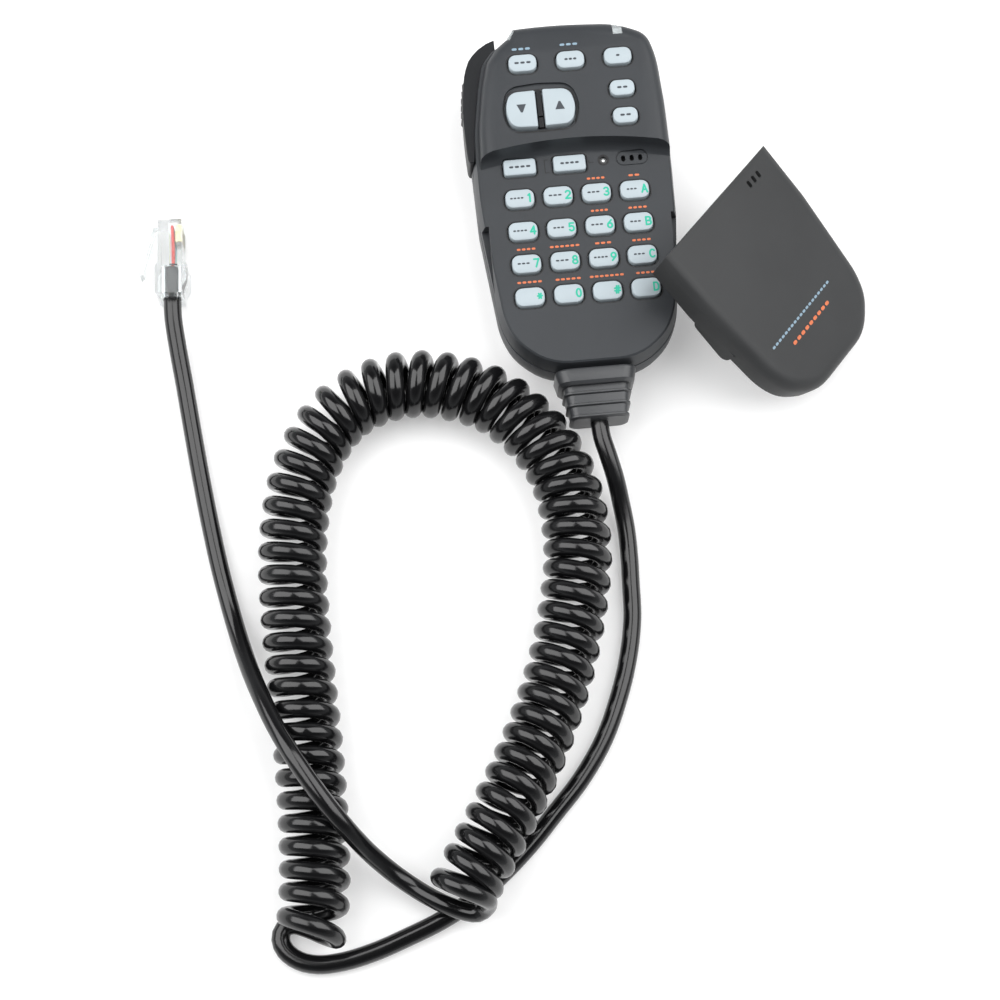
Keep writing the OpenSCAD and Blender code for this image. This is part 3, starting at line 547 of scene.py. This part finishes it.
def dashes(sheet, ink_index, x, y, width, height, z):
    """A plain row of dashes standing where a printed word was."""
    count = max(1, round(width / (height * 0.84)))
    step = width / count
    thick = height * 0.36
    half = (step * 0.76 - thick) / 2
    for k in range(count):
        middle = x - width / 2 + step * (k + 0.5)
        sheet.capsule(ink_index, (middle - half, y), (middle + half, y), thick, z)


# widths of the dashes on the keypad's keys and above them
KEY_WORDS = {"1": 3.9, "2": 3.8, "3": 3.6, "a": 3.0, "4": 4.0, "5": 3.2, "6": 3.5, "b": 3.2, "7": 3.6,
             "8": 3.8, "9": 4.0, "c": 3.2}
CASE_WORDS = {"3": 5.2, "a": 3.4, "6": 5.0, "b": 5.4, "7": 5.4, "8": 8.4, "9": 4.8, "c": 5.4, "star": 7.0,
              "0": 7.2, "hash": 9.6, "d": 5.4}
# the other keys: centre, size and corner radius of the hole, face that it is in, and width of the dashes
OTHER_KEYS = {
    "mode": (-11.5, 37.4, 7.7, 5.1, 2.0, BLOCK_Z, 4.9), "memory": (1.7, 37.4, 7.7, 5.1, 2.0, BLOCK_Z, 3.6),
    "backlight": (14.8, 37.4, 7.6, 5.0, 2.0, BLOCK_Z, 1.3), "f1": (15.0, 27.8, 6.8, 4.7, 1.9, BLOCK_Z, 3.2),
    "f2": (15.0, 19.6, 6.8, 4.7, 1.9, BLOCK_Z, 3.3), "tone": (-14.9, 9.2, 8.9, 4.7, 0.9, FACE_Z, 6.2),
    "function": (-1.2, 9.2, 8.9, 4.7, 0.9, FACE_Z, 5.4),
}
# edge of the well round the down and up keys, along which a dark line of painted shade is laid
ROCKER_EDGE = [
    (-9.2, 17.5), (-15.6, 17.6), (-17.0, 18.7), (-18.2, 23.6), (-17.0, 28.6), (-15.5, 29.7), (-9.0, 29.8),
    (-7.0, 29.9), (-0.5, 29.8), (1.2, 28.8), (2.5, 23.8), (1.2, 18.6), (-0.3, 17.6), (-7.0, 17.5), (-9.2, 17.5),
]


def pad_places():
    """Each keypad key's name with the centre of its place."""
    return [(name, (i - 1.5) * PITCH_X, -j * PITCH_Y) for j, row in enumerate(PAD) for i, name in enumerate(row)]


def print_keys():
    z = KEY_TOP + INK_HEIGHT
    for name, x, y in pad_places():
        sheet = Print("print_" + name, "key_%s_cap" % name, "key_plastic", ["green_ink", "dark_ink"])
        tall = 2.2 if name != "star" else 1.9
        for line in GLYPHS[name]:
            sheet.stroke(0, [(x + 2.65 + u * tall * 0.64, y - 0.05 + v * tall / 1.5) for u, v in line], 0.50, z)
        if name in KEY_WORDS:
            dashes(sheet, 1, x - 0.85, y + 0.05, KEY_WORDS[name], 1.3, z)
        sheet.done()
    for name, (x, y, _, _, _, face, width) in OTHER_KEYS.items():
        top = KEY_TOP if face == FACE_Z else BLOCK_KEY_TOP
        sheet = Print("print_" + name, "key_%s_cap" % name, "key_plastic", ["dark_ink"])
        dashes(sheet, 0, x, y, width, 1.7, top + INK_HEIGHT)
        sheet.done()
    y = 23.9
    for name, x, s in (("down", -13.1, -1), ("up", -2.6, 1)):
        sheet = Print("print_" + name, "key_%s_cap" % name, "key_plastic", ["dark_ink"])
        base, tip = y - 1.15 * s, y + 1.25 * s
        arrow = [(x - 1.3, base), (x + 1.3, base), (x + 0.25, tip), (x - 0.25, tip)]
        sheet.shape(0, arrow[::s], BLOCK_KEY_TOP + INK_HEIGHT)
        sheet.done()


def print_case():
    """Words above the keys, and painted shade: thin dark bands in the gaps round the keys and round the lamp, a
    dark line along the rocker well and two short dark lines.
    """
    case = Print("print_case", HANDSET, "case_plastic", ["orange_ink", "blue_ink", "shadow_ink"])
    # painted shade: a dark band in the gap round each key
    for _, x, y in pad_places():
        case.band(2, x, y, 7.9, 5.3, 2.0, 0.42, 0.68, FACE_Z + INK_HEIGHT / 2)
    for x, y, w, h, r, face, _ in OTHER_KEYS.values():
        case.band(2, x, y, w, h, r, 0.42, 0.68, face + INK_HEIGHT / 2)
    # painted shade: a dark ring round the lamp
    case.band(2, *LAMP_AT, 2.0, 2.0, 1.0, 0.02, 0.62, FACE_Z + INK_HEIGHT / 2)
    for name, x, y in pad_places():
        if name in CASE_WORDS:
            dashes(case, 0, x + 0.3, y + 4.5, CASE_WORDS[name], 1.7, FACE_Z + INK_HEIGHT)
    dashes(case, 1, -11.5, 42.0, 5.5, 1.9, BLOCK_Z + INK_HEIGHT)
    dashes(case, 1, 1.7, 42.3, 5.3, 1.9, BLOCK_Z + INK_HEIGHT)
    # painted shade: a dark line along the edge of the rocker well
    case.stroke(2, ROCKER_EDGE, 0.36, BLOCK_Z - 0.8 + INK_HEIGHT)
    # painted shade: two short dark lines on the low face
    for line in ([(-7.0, 7.2), (-8.0, 7.2), (-8.0, 11.0), (-7.0, 11.0)], [(4.2, 9.9), (4.2, 9.2), (5.4, 9.2)]):
        case.stroke(2, line, 0.22, FACE_Z + INK_HEIGHT)
    case.done()


def print_cover():
    turn = Euler([math.radians(a) for a in COVER_TURN]).to_matrix().to_4x4()
    lid = Matrix.Translation(COVER_AT) @ turn
    cover = Print("print_cover", "cover", "case_plastic", ["blue_ink", "orange_ink"], lid)
    dashes(cover, 0, -2.8, -25.2, 30.5, 1.9, COVER_TOP + INK_HEIGHT)
    dashes(cover, 1, -1.8, -28.9, 19.5, 2.7, COVER_TOP + INK_HEIGHT)
    cover.done()


# ---------------------------------------------------------------- lever and plug

# outer wall of the lever, from its top down
LEVER_WALL = [
    (-24.7, 44.8), (-25.9, 43.2), (-26.8, 41.0), (-27.5, 38.6), (-28.4, 32.9), (-28.8, 28.0), (-28.9, 23.0),
]
RIBS, RIB_PITCH, RIB_HEIGHT = 6, 2.1, 0.50


def make_grip():
    """Slanting grip ribs on the outer wall of the lever."""
    down = [-y for _, y in LEVER_WALL]
    across = [x for x, _ in LEVER_WALL]
    form = bmesh.new()
    for k in range(RIBS):
        sections = []
        for n in range(7):
            z = 9.6 + n * 1.6
            y = 27.2 + k * RIB_PITCH - (n - 3) * 0.35
            low, here, high = (np.interp(-v, down, across) for v in (y - 0.45, y, y + 0.45))
            out = RIB_HEIGHT if 0 < n < 6 else 0.05
            sections.append([form.verts.new((x * MM, v * MM, z * MM)) for x, v in (
                (low + 0.2, y - 0.55), (low - out * 0.6, y - 0.3), (here - out, y),
                (high - out * 0.6, y + 0.3), (high + 0.2, y + 0.55))])
        for low, high in zip(sections, sections[1:]):
            for m in range(4):
                form.faces.new((low[m], low[m + 1], high[m + 1], high[m]))
        form.faces.new(sections[0])
        form.faces.new(sections[-1][::-1])
    bmesh.ops.recalc_face_normals(form, faces=form.faces)
    mesh = bpy.data.meshes.new("lever_grip")
    form.to_mesh(mesh)
    form.free()
    mesh.materials.append(LOOKS["lever"])
    mesh.shade_smooth()
    mesh.set_sharp_from_angle(angle=math.radians(50))
    grip = bpy.data.objects.new("lever_grip", mesh)
    bpy.context.scene.collection.objects.link(grip)
    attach(grip, "lever")


PLUG_AT = (-113.1, -14.6, 5.85)
PLUG_TURN = -3
WIRE_LOOKS = ("wire_0", "wire_1", "wire_2", "wire_3", "wire_4", "wire_5", "wire_6", "red")
WIRE_PITCH, WIRE_RADIUS, WIRE_SIDES, WIRE_RINGS = 1.02, 0.43, 10, 13


def make_wires():
    """The eight wires of the plug, each with its own colour, fanned from the jacket to their contacts."""
    form = bmesh.new()
    place = Matrix.Translation(PLUG_AT) @ Matrix.Rotation(math.radians(PLUG_TURN), 4, "Z")
    around = [Vector((WIRE_RADIUS * math.cos(a), 0, WIRE_RADIUS * math.sin(a)))
              for a in (math.tau * m / WIRE_SIDES for m in range(WIRE_SIDES))]
    for k in range(len(WIRE_LOOKS)):
        end = (k - 3.5) * WIRE_PITCH
        start = end * 0.55
        rings = []
        for n in range(WIRE_RINGS):
            t = n / (WIRE_RINGS - 1)
            fanned = min(1.0, t / 0.6)
            z = start + (end - start) * fanned ** 2 * (3 - 2 * fanned)
            x = 0.5 + 0.25 * math.sin(math.pi * t) * (1 if k % 2 else -1)
            centre = Vector((x, 8.8 + 11.4 * t, z))
            rings.append([form.verts.new((place @ (centre + offset)) * MM) for offset in around])
        faces = [form.faces.new((low[m], low[(m + 1) % WIRE_SIDES], high[(m + 1) % WIRE_SIDES], high[m]))
                 for low, high in zip(rings, rings[1:]) for m in range(WIRE_SIDES)]
        faces += [form.faces.new(rings[0]), form.faces.new(rings[-1][::-1])]
        for face in faces:
            face.material_index = k
            face.smooth = True
    bmesh.ops.recalc_face_normals(form, faces=form.faces)
    mesh = bpy.data.meshes.new("plug_wires_finished")
    form.to_mesh(mesh)
    form.free()
    for look in WIRE_LOOKS:
        mesh.materials.append(LOOKS[look])
    wires = bpy.data.objects.new("plug_wires_finished", mesh)
    bpy.context.scene.collection.objects.link(wires)
    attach(wires, BODY_OF["plug_wires"])
    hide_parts("plug_wires")


# ---------------------------------------------------------------- stage


def make_stage():
    """A pale floor that glows a little, so that it stays white round the object."""
    half = 3.0
    mesh = bpy.data.meshes.new("floor")
    mesh.from_pydata([(-half, -half, 0), (half, -half, 0), (half, half, 0), (-half, half, 0)], [], [(0, 1, 2, 3)])
    floor = bpy.data.objects.new("floor", mesh)
    pale, _, shader = new_material("floor")
    shader.inputs["Base Color"].default_value = (0.66, 0.66, 0.66, 1)
    shader.inputs["Emission Color"].default_value = (1, 1, 1, 1)
    shader.inputs["Emission Strength"].default_value = 0.36
    shader.inputs["Roughness"].default_value = 0.8
    shader.inputs["Specular IOR Level"].default_value = 0.1
    mesh.materials.append(pale)
    bpy.context.scene.collection.objects.link(floor)


def softbox(name, at):
    target = (-0.03, -0.08, 0.0)
    light = bpy.data.lights.new(name, "AREA")
    light.shape = "RECTANGLE"
    light.size, light.size_y = 1.15, 1.25
    light.energy = 17.0
    lamp = bpy.data.objects.new(name, light)
    lamp.location = at
    lamp.rotation_mode = "QUATERNION"
    lamp.rotation_quaternion = (Vector(target) - Vector(at)).to_track_quat("-Z", "Y")
    bpy.context.scene.collection.objects.link(lamp)


def make_lights():
    softbox("softbox_left", (-0.70, 0.12, 0.90))
    softbox("softbox_right", (0.62, 0.12, 0.90))
    world = bpy.data.worlds.new("studio")
    world.use_nodes = True
    tree = world.node_tree
    ground = tree.nodes["Background"]
    place = tree.nodes.new("ShaderNodeTexCoord")
    axes = tree.nodes.new("ShaderNodeSeparateXYZ")
    fade = tree.nodes.new("ShaderNodeMapRange")
    fade.inputs["From Min"].default_value = 0.0
    fade.inputs["From Max"].default_value = 0.6
    fade.inputs["To Min"].default_value = 0.6
    fade.inputs["To Max"].default_value = 0.06
    tree.links.new(place.outputs["Generated"], axes.inputs["Vector"])
    tree.links.new(axes.outputs["Z"], fade.inputs["Value"])
    tree.links.new(fade.outputs["Result"], ground.inputs["Strength"])
    ground.inputs["Color"].default_value = (0.96, 0.98, 1.0, 1)
    bpy.context.scene.world = world
    bpy.context.scene.view_settings.view_transform = "Standard"


make_camera()
cord = make_cord(LOOKS["cord"])
dress_nodes()
make_shells()
make_wires()
print_keys()
print_case()
print_cover()
make_grip()
make_stage()
make_lights()
